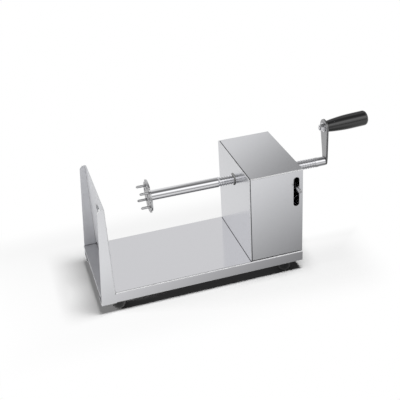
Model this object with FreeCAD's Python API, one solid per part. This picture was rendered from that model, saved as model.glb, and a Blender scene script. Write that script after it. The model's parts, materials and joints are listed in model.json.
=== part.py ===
import FreeCAD, Part
import math
import os

from FreeCAD import Vector

# Tornado potato cutter: a folded steel tray carries a blade frame at one end and a
# screw housing at the other. A crank turns a long screw through the housing, and the
# pronged disc on its end pushes a turning potato on to the radial blade.
#
# Millimetres. X runs along the machine towards the crank, Y from the lever side to
# the far side, Z up from the table. The origin is under the middle of the whole.

# Driving dimensions
overall_length = 440.0
overall_width = 151.0
tray_length = 308.0
tray_width = 140.0
tray_height = 17.2
foot_height = 15.0
axis_above_deck = 104.6
crank_radius = 56.9
housing_length = 81.4
housing_height = 137.6
frame_height = 137.0

# Sheet metal
tray_sheet = 1.5
frame_sheet = 1.5
cover_sheet = 1.2
tray_bend = 2.0
tray_lip = 22.0

# Places worked out from the driving dimensions
tray_left = -overall_length / 2
tray_right = tray_left + tray_length
near_limit = -overall_width / 2
mid_y = overall_width / 2 - tray_width / 2
half_tray = tray_width / 2
deck_top = foot_height + tray_height
deck_under = deck_top - tray_sheet
axis_z = deck_top + axis_above_deck

# Blade frame
frame_right = tray_left + 22.0
frame_left_face = frame_right - frame_sheet
frame_top = deck_top + frame_height
cheek_lean = 12.2
cheek_corner = 6.0
window_half = 13.0
window_y = mid_y - 18.0
window_top = axis_z + 12.2
window_bottom = axis_z - 68.0
guide_outer = 4.8
guide_bore = 3.8
guide_reach = 5.0
guide_taper = 2.0

# Blade
blade_gap = 4.0
blade_sheet = 1.2
blade_top = axis_z - 5.6
blade_bottom = axis_z - 66.0
blade_edge_y = mid_y - 3.4
blade_bend_y = mid_y - 34.0
blade_back_y = mid_y - 47.0
blade_screw_y = mid_y - 40.5
blade_screw_drops = (14.0, 36.0, 58.0)
blade_bevel = 6.0
blade_corner = 5.0

# Screw housing
housing_left = tray_right - housing_length
housing_top = deck_top + housing_height
half_housing = 68.4
housing_bend = 2.0
housing_lip = 14.0
lip_relief = 15.0
panel_inset = 0.4
front_panel_depth = 12.0
front_joint = 1.3
panel_lift = 1.0
panel_rim = 0.5
cover_left = housing_left + cover_sheet + front_joint
rear_panel_depth = 10.0
slot_x = tray_right - 9.9
slot_half = 4.5
slot_low = axis_z - 25.3
slot_high = axis_z + 22.0

# Screw and bushes
screw_radius = 7.5
neck_radius = 7.0
mouth_x = tray_left + 95.5
arm_left = tray_left + 372.8
neck_length = 11.5
socket_radius = 3.5
socket_depth = 90.0
spigot_side = 7.6
spigot_length = 1.5
running_gap = 0.08
bush_hole = 8.8
bush_neck = 8.7
bush_sleeve = 8.6
bush_flange = 9.8
bush_snap = 9.3
bush_rim = 1.4
bush_play = 0.12

# Pronged disc
disc_radius = 24.5
disc_sheet = 2.0
disc_window = 4.6
disc_window_circle = 15.8
disc_notch = 6.0
disc_notch_circle = 27.5
prong_circle = 16.3
prong_radius = 1.9
prong_length = 13.5
prong_point = 1.6
prong_rivet = 0.8

# Crank
arm_sheet = 3.0
arm_foot_radius = 6.4
arm_head_radius = 12.0
arm_edge = 0.5
arm_knee = 9.0
arm_lean = 2.5
sink_radius = 4.4
crank_screw_radius = 2.5
crank_screw_length = 16.0
bolt_radius = 3.0
grip_washer = 0.8
nut_washer = 1.2
grip_nut_height = 5.0
grip_nut_flats = 10.0
grip_start = arm_left + arm_sheet + grip_washer + 0.3
lean_set_back = 1.81
grip_end = overall_length / 2 + lean_set_back
grip_counterbore = 9.3
grip_root_radius = 8.2
grip_full_radius = 11.3
grip_end_radius = 7.9
grip_mouth_radius = 6.9
grip_swell = 38.0
grip_round = 5.0

# Release lever and its half nut
lever_x = tray_right - 9.0
lever_sheet = 5.0
pivot_y = mid_y + 52.0
pivot_z = axis_z + 22.0
lever_rise_at_wall = 5.9
lever_eye = 6.5
lever_neck = 4.0
lever_flat = 105.0
lever_rod = 2.75
pin_radius = 2.5
half_nut_left = lever_x - 11.7
half_nut_length = 16.0
half_nut_half = 13.0
half_nut_low = axis_z + 2.5
half_nut_high = axis_z + 19.0
half_nut_gap = 0.3
half_nut_pin = 1.5
half_nut_pin_spread = 8.0
ear_sheet = 2.5
ear_gap = 0.5

# Feet and small screws
foot_radius = 9.5
foot_y = 58.0
foot_places = (26.3, 283.0)
foot_recess = 6.0
foot_recess_radius = 4.4
screw_shank = 2.0
screw_head = 3.6
screw_head_height = 2.4
screw_tail = 1.2
nut_flats = 7.0
nut_height = 3.2

along_x = Vector(1, 0, 0)
along_y = Vector(0, 1, 0)
upward = Vector(0, 0, 1)


def block(low, high):
    """A box between two opposite corners."""
    size = [b - a for a, b in zip(low, high)]
    return Part.makeBox(*size, Vector(*low))


def rod(start, direction, length, radius):
    """A plain round bar from a start point."""
    return Part.makeCylinder(radius, length, Vector(*start), direction)


def placed(shape, start, direction):
    """A shape built along +Z from the origin, moved to its place and direction."""
    turn = FreeCAD.Rotation(upward, direction)
    shape.Placement = FreeCAD.Placement(Vector(*start), turn)
    return shape


def turned(outline, start, direction):
    """An outline of (radius, distance) points spun about a line."""
    points = [Vector(radius, 0, distance) for radius, distance in outline]
    face = Part.Face(Part.makePolygon(points + points[:1]))
    return placed(face.revolve(Vector(0, 0, 0), upward, 360), start, direction)


def hexagon(start, direction, length, flats, bore):
    """A hexagonal nut with a plain bore."""
    corner = flats / math.sqrt(3)
    angles = [math.radians(60 * step) for step in range(7)]
    points = [Vector(corner * math.cos(a), corner * math.sin(a), 0) for a in angles]
    nut = Part.Face(Part.makePolygon(points)).extrude(upward * length)
    nut = nut.cut(Part.makeCylinder(bore, length))
    return placed(nut, start, direction)


def ring(start, direction, length, outer, inner):
    """A washer or a short tube."""
    return rod(start, direction, length, outer).cut(rod(start, direction, length, inner))


def link_prism(first, second, first_radius, second_radius, along):
    """Two round ends joined by straight tangents, pushed through along a vector."""
    first = Vector(*first)
    second = Vector(*second)
    reach = second.sub(first)
    spine = Vector(reach).normalize()
    side = spine.cross(along).normalize()
    tilt = (second_radius - first_radius) / reach.Length
    level = math.sqrt(1 - tilt * tilt)
    one = side * level - spine * tilt
    other = side * -level - spine * tilt
    first_tip = first - spine * first_radius
    second_tip = second + spine * second_radius
    wire = Part.Wire([
        Part.Arc(first + one * first_radius, first_tip, first + other * first_radius).toShape(),
        Part.makeLine(first + other * first_radius, second + other * second_radius),
        Part.Arc(second + other * second_radius, second_tip, second + one * second_radius).toShape(),
        Part.makeLine(second + one * second_radius, first + one * first_radius),
    ])
    return Part.Face(wire).extrude(along)


def edges_along(shape, direction, test):
    """Straight edges that run along a direction and pass a test on their middle."""
    chosen = []
    for edge in shape.Edges:
        ends = edge.Vertexes[-1].Point.sub(edge.Vertexes[0].Point)
        if ends.Length and abs(ends.normalize().dot(direction)) > 0.999:
            if test(edge.CenterOfMass):
                chosen.append(edge)
    return chosen


def everywhere(point):
    """Any edge will do."""
    return True


def drilled(shape, places, direction, length, radius):
    """A shape with round holes through it."""
    for place in places:
        shape = shape.cut(rod(place, direction, length, radius))
    return shape


def folded_channel(left, right, half_width, low, high, sheet, bend, lip):
    """Sheet folded into a flat top, two walls and two lips turned in below."""
    outer = block((left, mid_y - half_width, low), (right, mid_y + half_width, high))
    outer = outer.makeFillet(bend, edges_along(outer, along_x, everywhere))
    room = half_width - sheet
    inner = block((left - 1, mid_y - room, low + sheet), (right + 1, mid_y + room, high - sheet))
    inner = inner.makeFillet(bend - sheet, edges_along(inner, along_x, everywhere))
    gap = half_width - lip
    mouth = block((left - 1, mid_y - gap, low - 1), (right + 1, mid_y + gap, low + sheet + 1))
    return outer.cut(inner).cut(mouth)


def foot_centres():
    """Plan positions of the four feet."""
    sides = (mid_y - foot_y, mid_y + foot_y)
    return [(tray_left + place, side) for place in foot_places for side in sides]


def housing_screw_places():
    """Plan positions of the four screws that hold the housing down."""
    sides = (mid_y - half_housing + 7.4, mid_y + half_housing - 7.4)
    return [(housing_left + place, side) for place in (24.0, 57.0) for side in sides]


def blade_screw_places():
    """Where the blade screws cross the face of the frame."""
    return [(blade_screw_y, axis_z - drop) for drop in blade_screw_drops]


def base_tray():
    """The tray that everything stands on, open below, with room for the cheeks."""
    tray = folded_channel(tray_left, tray_right, half_tray, foot_height, deck_top,
                          tray_sheet, tray_bend, tray_lip)
    room = half_tray - frame_sheet
    for side in (-1, 1):
        inside = mid_y + side * room
        outside = mid_y + side * (half_tray + 1)
        low = (tray_left - 1, min(inside, outside), foot_height - 1)
        high = (frame_right, max(inside, outside), deck_top + 1)
        tray = tray.cut(block(low, high))
    feet = [(x, y, foot_height - 1) for x, y in foot_centres()]
    tray = drilled(tray, feet, upward, tray_sheet + 2, screw_shank)
    screws = [(x, y, deck_under - 1) for x, y in housing_screw_places()]
    return drilled(tray, screws, upward, tray_sheet + 2, screw_shank)


def blade_frame():
    """One sheet folded into the upright face and two tapering cheeks."""
    low = (tray_left, mid_y - half_tray, foot_height)
    high = (frame_right, mid_y + half_tray, frame_top)
    outer = block(low, high)
    outer = outer.makeFillet(tray_bend, edges_along(outer, upward, lambda p: p.x > frame_left_face))
    room = half_tray - frame_sheet
    low = (tray_left - 1, mid_y - room, foot_height - 1)
    high = (frame_left_face, mid_y + room, frame_top + 1)
    inner = block(low, high)
    bend = tray_bend - frame_sheet
    inner = inner.makeFillet(bend, edges_along(inner, upward, lambda p: p.x > tray_left))
    frame = outer.cut(inner)
    below_deck = block((tray_left - 1, mid_y - room, foot_height - 1),
                       (frame_right + 1, mid_y + room, deck_top))
    frame = frame.cut(below_deck).common(cheek_outline())
    for side in (-1, 1):
        inside = mid_y + side * room
        outside = mid_y + side * half_tray
        low = (frame_right - tray_bend, min(inside, outside), foot_height)
        high = (frame_right, max(inside, outside), deck_top - tray_bend)
        frame = frame.fuse(block(low, high))
    return face_openings(frame.removeSplitter())


def cheek_outline():
    """The side view that trims the cheeks: leaning front edge, rounded top corner."""
    start = mid_y - half_tray - 1
    corners = [
        Vector(tray_left, start, foot_height),
        Vector(frame_right + 1, start, foot_height),
        Vector(frame_right + 1, start, frame_top),
        Vector(tray_left + cheek_lean, start, frame_top),
    ]
    profile = Part.Face(Part.makePolygon(corners + corners[:1]))
    prism = profile.extrude(along_y * (tray_width + 2))

    def top_corner(point):
        return point.z > frame_top - 1 and point.x < frame_left_face

    return prism.makeFillet(cheek_corner, edges_along(prism, along_y, top_corner))


def face_openings(frame):
    """Window for the slice, hole for the skewer guide and holes for the blade."""
    start = frame_left_face - 1
    low = (start, window_y, window_bottom + window_half)
    high = (start, window_y, window_top - window_half)
    window = link_prism(low, high, window_half, window_half, along_x * (frame_sheet + 2))
    frame = frame.cut(window)
    frame = drilled(frame, [(start, mid_y, axis_z)], along_x, frame_sheet + 2, guide_outer)
    screws = [(start, y, z) for y, z in blade_screw_places()]
    return drilled(frame, screws, along_x, frame_sheet + 2, screw_shank)


def slicing_blade():
    """Radial blade: a flat back on the frame, a bend, and a ground edge that stands
    one screw pitch clear of the face so that the slice runs under it."""
    edge_x = frame_right + blade_gap
    slope = blade_gap / (blade_edge_y - blade_bend_y)
    bevel_y = blade_edge_y - blade_bevel
    bevel_x = edge_x - blade_bevel * slope + blade_sheet
    section = [
        (frame_right, blade_back_y),
        (frame_right, blade_bend_y),
        (edge_x, blade_edge_y),
        (bevel_x, bevel_y),
        (frame_right + blade_sheet, blade_bend_y),
        (frame_right + blade_sheet, blade_back_y),
    ]
    points = [Vector(x, y, blade_bottom) for x, y in section]
    face = Part.Face(Part.makePolygon(points + points[:1]))
    blade = face.extrude(upward * (blade_top - blade_bottom))

    def back_corner(point):
        return point.y < blade_back_y + 0.1

    blade = blade.makeFillet(blade_corner, edges_along(blade, along_x, back_corner))
    screws = [(frame_right - 1, y, z) for y, z in blade_screw_places()]
    return drilled(blade, screws, along_x, blade_sheet + 2, screw_shank)


def skewer_guide():
    """Tube at the middle of the blade that carries the skewer and cores its way."""
    length = frame_sheet + guide_reach
    outline = [
        (guide_bore, 0.0),
        (guide_outer, 0.0),
        (guide_outer, length - guide_taper),
        (guide_bore + 0.2, length),
        (guide_bore, length),
    ]
    return turned(outline, (frame_left_face, mid_y, axis_z), along_x)


def small_screw(seat, direction, grip_length):
    """Pan head on the seat, shank running the other way through the joint."""
    outline = [
        (0.0, -screw_head_height),
        (screw_head * 0.6, -screw_head_height),
        (screw_head, -screw_head_height / 2),
        (screw_head, 0.0),
        (screw_shank, 0.0),
        (screw_shank, grip_length),
        (0.0, grip_length),
    ]
    return turned(outline, seat, direction)


def blade_screws():
    """Three screws with their heads on the blade."""
    seat = frame_right + blade_sheet
    through = frame_sheet + blade_sheet + nut_height + screw_tail
    back = along_x * -1
    return [small_screw((seat, y, z), back, through) for y, z in blade_screw_places()]


def blade_nuts():
    """Three nuts on the discharge side of the frame."""
    start = frame_left_face - nut_height
    places = blade_screw_places()
    return [hexagon((start, y, z), along_x, nut_height, nut_flats, screw_shank) for y, z in places]


def feet():
    """Four rubber feet under the tray's lips, hollow for the screw head."""
    outline = [
        (screw_shank, foot_height),
        (foot_radius, foot_height),
        (foot_radius, 9.0),
        (foot_radius - 0.6, 4.5),
        (foot_radius - 1.9, 1.6),
        (foot_radius - 3.6, 0.0),
        (foot_recess_radius, 0.0),
        (foot_recess_radius, foot_recess),
        (screw_shank, foot_recess),
    ]
    return [turned(outline, (x, y, 0), upward) for x, y in foot_centres()]


def foot_screws():
    """Four screws up through the feet into the lips."""
    through = foot_height - foot_recess + tray_sheet + nut_height + screw_tail
    return [small_screw((x, y, foot_recess), upward, through) for x, y in foot_centres()]


def foot_nuts():
    """Four nuts on top of the lips."""
    start = foot_height + tray_sheet
    return [hexagon((x, y, start), upward, nut_height, nut_flats, screw_shank)
            for x, y in foot_centres()]


def housing_cover():
    """Top and both sides of the housing folded from one sheet, with the lever slot."""
    cover = folded_channel(cover_left, tray_right, half_housing, deck_top, housing_top,
                           cover_sheet, housing_bend, housing_lip)
    room = half_housing - cover_sheet
    for start in (housing_left - 1, tray_right - lip_relief):
        low = (start, mid_y - room, deck_top - 1)
        high = (start + lip_relief + 1, mid_y + room, deck_top + housing_bend)
        cover = cover.cut(block(low, high))
    wall = mid_y - half_housing - 1
    low = (slot_x, wall, slot_low + slot_half)
    high = (slot_x, wall, slot_high - slot_half)
    slot = link_prism(low, high, slot_half, slot_half, along_y * (cover_sheet + 2))
    screws = [(x, y, deck_top - 1) for x, y in housing_screw_places()]
    return drilled(cover.cut(slot), screws, upward, cover_sheet + 2, screw_shank)


def end_panel(face_x, depth, floor):
    """A pan-shaped end plate: flat face at face_x, edges turned in by a signed depth."""
    half = half_housing - cover_sheet
    top = housing_top - cover_sheet
    inward = math.copysign(1, depth)
    low_x = min(face_x, face_x + depth)
    high_x = max(face_x, face_x + depth)
    outer = block((low_x, mid_y - half, floor), (high_x, mid_y + half, top))

    def on_face(point):
        return abs(point.x - face_x) < 0.01

    def in_top_fold(point):
        return point.z > top - 1

    fold = housing_bend - cover_sheet
    outer = outer.makeFillet(fold, edges_along(outer, along_x, in_top_fold))
    face_rim = [edge for edge in outer.Edges
                if on_face(edge.CenterOfMass) and edge.CenterOfMass.z > floor + 1]
    outer = outer.makeFillet(housing_bend, face_rim)
    inner_face = face_x + inward * cover_sheet
    far_end = face_x + depth + inward
    low_x = min(inner_face, far_end)
    high_x = max(inner_face, far_end)
    room = half - cover_sheet
    hollow = block((low_x, mid_y - room, floor + cover_sheet), (high_x, mid_y + room, top - cover_sheet))
    bore = rod((face_x - 5, mid_y, axis_z), along_x, 10, bush_hole)
    return outer.cut(hollow).cut(bore)


def front_panel():
    """Plate over the potato end of the housing, a joint's width off the cover, with its
    edges turned in behind it."""
    floor = deck_top + panel_lift
    plate = block((housing_left, mid_y - half_housing, floor),
                  (housing_left + cover_sheet, mid_y + half_housing, housing_top))
    plate = plate.makeFillet(housing_bend, edges_along(plate, along_x, lambda p: p.z > housing_top - 1))
    rim = [edge for edge in plate.Edges if edge.CenterOfMass.x < housing_left + 0.01]
    plate = plate.makeFillet(panel_rim, rim)
    pan = end_panel(housing_left, front_panel_depth, floor)
    bore = rod((housing_left - 5, mid_y, axis_z), along_x, 10, bush_hole)
    return plate.fuse(pan).cut(bore).removeSplitter()


def rear_panel():
    """End of the housing at the crank, with no side edges so that the lever passes."""
    panel = end_panel(tray_right - panel_inset, -rear_panel_depth, deck_top)
    back = tray_right - panel_inset - housing_bend
    for side in (-1, 1):
        inside = mid_y + side * (half_housing - cover_sheet - 4)
        outside = mid_y + side * (half_housing + 1)
        low = (back - rear_panel_depth, min(inside, outside), deck_top - 1)
        high = (back, max(inside, outside), housing_top)
        panel = panel.cut(block(low, high))
    return panel


def housing_screws():
    """Four screws up through the deck and the cover's lips."""
    through = tray_sheet + cover_sheet + nut_height + screw_tail
    return [small_screw((x, y, deck_under), upward, through) for x, y in housing_screw_places()]


def housing_nuts():
    """Four nuts on the cover's lips, inside the housing."""
    start = deck_top + cover_sheet
    return [hexagon((x, y, start), upward, nut_height, nut_flats, screw_shank)
            for x, y in housing_screw_places()]


def bush(face_x, inward, boss, sleeve):
    """A snap-in flanged sleeve that the screw turns and slides in."""
    bore = screw_radius + running_gap
    wall = cover_sheet + bush_play
    outline = [
        (bush_flange, -bush_play - bush_rim),
        (bush_flange, -bush_play),
        (bush_neck, -bush_play),
        (bush_neck, wall),
        (bush_snap, wall),
        (bush_sleeve, wall + 1.0),
        (bush_sleeve, sleeve),
        (bore, sleeve),
        (bore, -bush_play - bush_rim),
    ]
    if boss:
        outline = outline[:-1] + [(bore, -boss), (bush_sleeve, -boss), (bush_sleeve, -bush_play - bush_rim)]
    return turned(outline, (face_x, mid_y, axis_z), along_x * inward)


def front_bush():
    """Collar seen on the face of the housing, with a long sleeve inside."""
    return bush(housing_left, 1, 0.0, 16.0)


def rear_bush():
    """The same collar at the crank end, with its sleeve outside the housing."""
    return bush(tray_right - panel_inset, -1, 9.0, cover_sheet + 1.2)


def lead_screw():
    """Hollow-nosed screw bar. The thread is left off: its crests are this cylinder."""
    outline = [
        (0.0, socket_depth + 2.0),
        (socket_radius, socket_depth),
        (socket_radius, 0.0),
        (screw_radius - 0.4, 0.0),
        (screw_radius, 0.4),
        (screw_radius, arm_left - mouth_x - neck_length),
        (neck_radius, arm_left - mouth_x - neck_length + 0.5),
        (neck_radius, arm_left - mouth_x),
        (0.0, arm_left - mouth_x),
    ]
    bar = turned(outline, (mouth_x, mid_y, axis_z), along_x)
    half = spigot_side / 2
    spigot = block((arm_left - 1, mid_y - half, axis_z - half),
                   (arm_left + spigot_length, mid_y + half, axis_z + half))
    screw_hole = rod((arm_left - 14, mid_y, axis_z), along_x, 20, crank_screw_radius)
    return bar.fuse(spigot).cut(screw_hole)


def around_axis(count, radius, first_degrees):
    """Evenly spaced (y, z) places round the screw's axis."""
    places = []
    for step in range(count):
        angle = math.radians(first_degrees + step * 360.0 / count)
        places.append((mid_y + radius * math.cos(angle), axis_z + radius * math.sin(angle)))
    return places


def prong_disc():
    """Disc on the nose of the screw: four windows, and a notch outside each prong."""
    disc = ring((mouth_x, mid_y, axis_z), along_x, disc_sheet, disc_radius, screw_radius)
    start = mouth_x - 1
    windows = [(start, y, z) for y, z in around_axis(4, disc_window_circle, 0)]
    disc = drilled(disc, windows, along_x, disc_sheet + 2, disc_window)
    notches = [(start, y, z) for y, z in around_axis(4, disc_notch_circle, 45)]
    disc = drilled(disc, notches, along_x, disc_sheet + 2, disc_notch)
    seats = [(start, y, z) for y, z in around_axis(4, prong_circle, 45)]
    return drilled(disc, seats, along_x, disc_sheet + 2, prong_radius)


def prongs():
    """Four blunt pins riveted into the disc."""
    back = prong_length + disc_sheet
    outline = [
        (0.0, 0.0),
        (prong_radius / 2, 0.0),
        (prong_radius, prong_point),
        (prong_radius, back),
        (prong_radius * 0.8, back + prong_rivet),
        (0.0, back + prong_rivet),
    ]
    start = mouth_x - prong_length
    return [turned(outline, (start, y, z), along_x) for y, z in around_axis(4, prong_circle, 45)]


def leaned(shape):
    """Tip a piece with the upper part of the crank arm."""
    tipped = shape.copy()
    knee = Vector(arm_left + arm_sheet, mid_y, axis_z + arm_knee)
    tipped.rotate(knee, along_y, -arm_lean)
    return tipped


def crank_arm():
    """Flat bar that widens from the screw to the grip, bent a little above its foot."""
    foot = (arm_left, mid_y, axis_z)
    head = (arm_left, mid_y, axis_z + crank_radius)
    arm = link_prism(foot, head, arm_foot_radius, arm_head_radius, along_x * arm_sheet)

    def outline_edge(point):
        return abs(point.x - arm_left) < 0.01 or abs(point.x - arm_left - arm_sheet) < 0.01

    arm = arm.makeChamfer(arm_edge, [edge for edge in arm.Edges if outline_edge(edge.CenterOfMass)])
    half = spigot_side / 2
    pocket = block((arm_left - 1, mid_y - half, axis_z - half),
                   (arm_left + spigot_length, mid_y + half, axis_z + half))
    sink = turned([(0, 0), (crank_screw_radius, 0), (sink_radius, spigot_length),
                   (sink_radius, spigot_length + 1), (0, spigot_length + 1)],
                  (arm_left + arm_sheet - spigot_length, mid_y, axis_z), along_x)
    bolt_hole = rod((arm_left - 1, mid_y, axis_z + crank_radius), along_x, arm_sheet + 2, bolt_radius)
    arm = arm.cut(pocket).cut(sink).cut(bolt_hole)
    upper = block((arm_left - 1, mid_y - 20, axis_z + arm_knee),
                  (arm_left + arm_sheet + 1, mid_y + 20, axis_z + crank_radius + 20))
    return arm.cut(upper).fuse(leaned(arm.common(upper)))


def crank_screw():
    """Countersunk screw, flush with the arm, that draws it on to the screw bar."""
    outline = [
        (0, 0),
        (sink_radius, 0),
        (crank_screw_radius, spigot_length),
        (crank_screw_radius, crank_screw_length),
        (0, crank_screw_length),
    ]
    return turned(outline, (arm_left + arm_sheet, mid_y, axis_z), along_x * -1)


def grip_bolt():
    """Shoulder bolt that the grip turns on, its head sunk in the grip's end."""
    head = grip_end - grip_counterbore + 0.3
    tail = arm_left - nut_washer - grip_nut_height - 1.7
    outline = [
        (0.0, 0.0),
        (2.2, 0.0),
        (bolt_radius, 0.8),
        (bolt_radius, head - tail),
        (6.0, head - tail),
        (6.0, head - tail + 3.0),
        (5.0, head - tail + 4.0),
        (0.0, head - tail + 4.0),
    ]
    return leaned(turned(outline, (tail, mid_y, axis_z + crank_radius), along_x))


def grip_washers():
    """One washer under the nut and one between the arm and the grip."""
    height = axis_z + crank_radius
    return [
        leaned(ring((arm_left - nut_washer, mid_y, height), along_x, nut_washer, 7.0, bolt_radius)),
        leaned(ring((arm_left + arm_sheet, mid_y, height), along_x, grip_washer, 6.5, bolt_radius)),
    ]


def grip_nut():
    """Nut on the bolt's tail."""
    start = (arm_left - nut_washer - grip_nut_height, mid_y, axis_z + crank_radius)
    return leaned(hexagon(start, along_x, grip_nut_height, grip_nut_flats, bolt_radius))


def grip():
    """Moulded grip that swells from its root to an even thickness, with a rounded end."""
    length = grip_end - grip_start
    bore = bolt_radius + running_gap
    shoulder = length - grip_counterbore
    root = Vector(grip_root_radius, 0, 0)
    swelling = Vector(grip_root_radius + 0.72 * (grip_full_radius - grip_root_radius), 0, grip_swell / 2)
    full = Vector(grip_full_radius, 0, grip_swell)
    shoulder_point = Vector(grip_full_radius, 0, length - grip_round)
    turn = Vector(grip_full_radius - 1.1, 0, length - 1.6)
    end = Vector(grip_end_radius, 0, length)
    edges = [
        Part.Arc(root, swelling, full).toShape(),
        Part.makeLine(full, shoulder_point),
        Part.Arc(shoulder_point, turn, end).toShape(),
    ]
    corners = [
        (grip_end_radius, length),
        (grip_mouth_radius, length),
        (grip_mouth_radius, shoulder),
        (bore, shoulder),
        (bore, 0),
        (grip_root_radius, 0),
    ]
    points = [Vector(radius, 0, distance) for radius, distance in corners]
    for first, second in zip(points, points[1:]):
        edges.append(Part.makeLine(first, second))
    solid = Part.Face(Part.Wire(edges)).revolve(Vector(0, 0, 0), upward, 360)
    return leaned(placed(solid, (grip_start, mid_y, axis_z + crank_radius), along_x))


def lever_slope():
    """Angle of the lever below level, from its pivot to the slot."""
    reach = pivot_y - (mid_y - half_housing)
    return math.atan2(pivot_z - axis_z - lever_rise_at_wall, reach)


def release_lever():
    """Flat lever above the screw, turned down to a round tip outside the slot."""
    slope = lever_slope()
    forward = Vector(0, -math.cos(slope), -math.sin(slope))
    left = lever_x - lever_sheet / 2
    eye = Vector(left, pivot_y, pivot_z)
    end = eye + forward * lever_flat
    bar = link_prism(eye, end, lever_eye, lever_neck, along_x * lever_sheet)
    rod_start = Vector(lever_x, end.y, end.z)
    full = (pivot_y - near_limit - lever_rod * math.sin(slope)) / math.cos(slope)
    tip = Part.makeCylinder(lever_rod, full - lever_flat, rod_start, forward)
    tip = tip.makeFillet(0.8, [edge for edge in tip.Edges if edge.CenterOfMass.y < near_limit + 1])
    pin_hole = rod((left - 1, pivot_y, pivot_z), along_x, lever_sheet + 2, pin_radius + running_gap)
    pins = [(left - 1, y, z) for y, z in half_nut_pin_places()]
    return drilled(bar.fuse(tip).cut(pin_hole), pins, along_x, lever_sheet + 2, half_nut_pin)


def half_nut():
    """Block slotted over the lever, with the saddle that sits on the screw."""
    low = (half_nut_left, mid_y - half_nut_half, half_nut_low)
    high = (half_nut_left + half_nut_length, mid_y + half_nut_half, half_nut_high)
    body = block(low, high)
    saddle = rod((half_nut_left - 1, mid_y, axis_z), along_x, half_nut_length + 2,
                 screw_radius + half_nut_gap)
    pins = [(half_nut_left - 1, y, z) for y, z in half_nut_pin_places()]
    body = body.cut(saddle).cut(release_lever())
    return drilled(body, pins, along_x, half_nut_length + 2, half_nut_pin)


def half_nut_pin_places():
    """Where two pins cross the lever, on its own centre line."""
    slope = lever_slope()
    places = []
    for offset in (-half_nut_pin_spread, half_nut_pin_spread):
        run = pivot_y - (mid_y + offset)
        places.append((mid_y + offset, pivot_z - run * math.tan(slope)))
    return places


def half_nut_pins():
    """Two pins that hold the half nut to the lever."""
    return [rod((half_nut_left, y, z), along_x, half_nut_length, half_nut_pin)
            for y, z in half_nut_pin_places()]


def pivot_bracket():
    """Folded bracket on the far wall that carries the lever's pin."""
    wall = mid_y + half_housing - cover_sheet
    gap = lever_sheet / 2 + ear_gap
    left = lever_x - gap - ear_sheet
    right = lever_x + gap + ear_sheet
    half_height = 7.0
    bracket = block((left, wall - frame_sheet, pivot_z - half_height), (right, wall, pivot_z + half_height))
    for start in (left, lever_x + gap):
        outline = link_prism((start, pivot_y, pivot_z), (start, wall, pivot_z),
                             pin_radius + 3, half_height, along_x * ear_sheet)
        limit = block((start - 1, pivot_y - 10, pivot_z - 10), (start + ear_sheet + 1, wall, pivot_z + 10))
        bracket = bracket.fuse(outline.common(limit))
    return drilled(bracket, [(left - 1, pivot_y, pivot_z)], along_x, right - left + 2, pin_radius)


def pivot_pin():
    """Headed pin through the bracket and the lever's eye."""
    ear_side = lever_sheet / 2 + ear_gap + ear_sheet
    outline = [
        (0.0, -1.4),
        (4.0, -1.4),
        (4.0, 0.0),
        (pin_radius, 0.0),
        (pin_radius, 2 * ear_side + 0.8),
        (0.0, 2 * ear_side + 0.8),
    ]
    return turned(outline, (lever_x - ear_side, pivot_y, pivot_z), along_x)


def main():
    """Build every piece and write one file for each."""
    os.makedirs("parts", exist_ok=True)
    pieces = [
        base_tray, blade_frame, slicing_blade, skewer_guide, blade_screws, blade_nuts,
        feet, foot_screws, foot_nuts, housing_cover, front_panel, rear_panel,
        housing_screws, housing_nuts, pivot_bracket, pivot_pin,
        front_bush, rear_bush,
        lead_screw, prong_disc, prongs, crank_arm, crank_screw, grip_bolt, grip_washers, grip_nut,
        grip,
        release_lever, half_nut, half_nut_pins,
    ]
    for piece in pieces:
        shape = piece()
        if isinstance(shape, list):
            shape = Part.makeCompound(shape)
        shape.exportStep("parts/" + piece.__name__ + ".step")
        print(piece.__name__, len(shape.Solids), "solids", round(shape.Volume, 1), "mm3", shape.isValid())


main()
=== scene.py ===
# %% [markdown]
# # A tornado potato cutter in polished sheet steel
# The machine is a folded steel tray with an upright blade frame at one end and a box at the other.
# A crank turns a long screw through the box, and the screw pushes a potato on to the blade.
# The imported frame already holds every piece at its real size, so this script dresses it:
# a camera, soft light, one finish for each kind of surface, and finer meshes for thread and fasteners.

# %% Load the frame
import json
import math

import bmesh
import bpy
from mathutils import Matrix, Vector


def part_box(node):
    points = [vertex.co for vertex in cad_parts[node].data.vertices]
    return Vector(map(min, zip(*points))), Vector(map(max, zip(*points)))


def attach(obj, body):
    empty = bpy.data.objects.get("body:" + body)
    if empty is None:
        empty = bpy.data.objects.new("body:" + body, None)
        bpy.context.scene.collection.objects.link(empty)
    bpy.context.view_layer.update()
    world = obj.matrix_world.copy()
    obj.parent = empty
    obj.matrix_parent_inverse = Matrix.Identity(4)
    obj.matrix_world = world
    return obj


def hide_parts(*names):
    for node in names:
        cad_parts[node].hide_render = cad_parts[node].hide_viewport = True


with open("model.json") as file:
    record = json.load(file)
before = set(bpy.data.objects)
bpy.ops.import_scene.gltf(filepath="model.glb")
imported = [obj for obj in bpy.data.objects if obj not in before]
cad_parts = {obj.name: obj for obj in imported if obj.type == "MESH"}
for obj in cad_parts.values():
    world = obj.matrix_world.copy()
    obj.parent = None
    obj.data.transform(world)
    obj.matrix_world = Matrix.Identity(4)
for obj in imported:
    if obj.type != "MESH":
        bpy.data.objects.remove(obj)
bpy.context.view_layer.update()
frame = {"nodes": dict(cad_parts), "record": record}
nodes = frame["nodes"]

# %% [markdown]
# ## Where the camera stands
# The picture is taken from the blade end, above the tray, with a fairly long lens and a slight roll.
# A camera could be aimed with a constraint, but a roll is easier to state directly: the back vector
# comes from an azimuth and an elevation, and the level and upward vectors are turned by the roll.

# %% Camera
camera_spot = Vector((-0.31015, -0.95838, 0.69500))
camera_azimuth = math.radians(-15.29)
camera_elevation = math.radians(30.23)
camera_roll = math.radians(-3.77)
camera_lens = 70.29


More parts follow.
